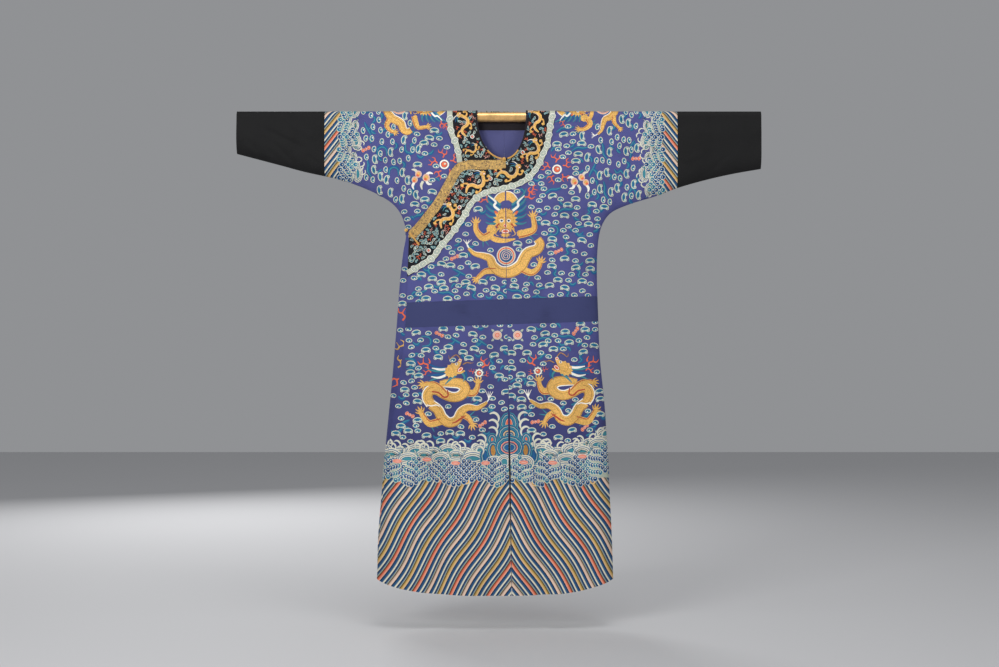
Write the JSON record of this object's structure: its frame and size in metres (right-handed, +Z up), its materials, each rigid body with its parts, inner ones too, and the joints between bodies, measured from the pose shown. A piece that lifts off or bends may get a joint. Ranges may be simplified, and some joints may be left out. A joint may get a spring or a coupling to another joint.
{
  "type": "dragon robe on hanging rod",
  "caption": "Side-closing silk court robe with a dark yoke, gold braid, waist band and striped hem, hung flat on a brass rod through its sleeves.",
  "frame": {"origin": "middle of the hanging rod's axis, at the neck", "axes": "+X along the rod to the wearer's left sleeve, +Y to the robe's back, +Z up"},
  "size_m": [1.502, 0.1461, 1.3815],
  "materials": {
    "brass": "polished",
    "woven_silk": "tapestry weave, patterned",
    "plain_band": "ribbed silk",
    "black_silk": "dull silk",
    "yoke_silk": "tapestry weave, patterned",
    "gold_braid": "woven metallic thread",
    "dark_binding": "silk binding",
    "gold_cord": "metallic cord",
    "blue_lining": "smooth silk"
  },
  "bodies": {
    "root": {"hanging_rod": "brass", "front_left_bodice": "woven_silk", "front_flap_bodice": "woven_silk", "front_right_underlap": "woven_silk", "back_left_bodice": "woven_silk", "back_right_bodice": "woven_silk", "front_left_band": "plain_band", "front_flap_band": "plain_band", "back_left_band": "plain_band", "back_right_band": "plain_band", "front_left_skirt": "woven_silk", "front_flap_skirt": "woven_silk", "back_left_skirt": "woven_silk", "back_right_skirt": "woven_silk", "sleeve_end_left_front": "black_silk", "sleeve_end_left_back": "black_silk", "sleeve_end_right_front": "black_silk", "sleeve_end_right_back": "black_silk", "yoke_front_over": "yoke_silk", "yoke_front_under": "yoke_silk", "yoke_back": "yoke_silk", "gold_braid": "gold_braid", "neck_binding_over": "dark_binding", "neck_binding_under": "dark_binding", "neck_binding_back": "dark_binding", "back_neck_facing": "dark_binding", "back_lining_left": "blue_lining", "back_lining_right": "blue_lining", "throat_cord_left": "gold_cord", "throat_cord_right": "gold_cord", "side_cord": "gold_cord", "throat_knot": "gold_cord", "side_knot": "gold_cord"}
  },
  "joints": []
}
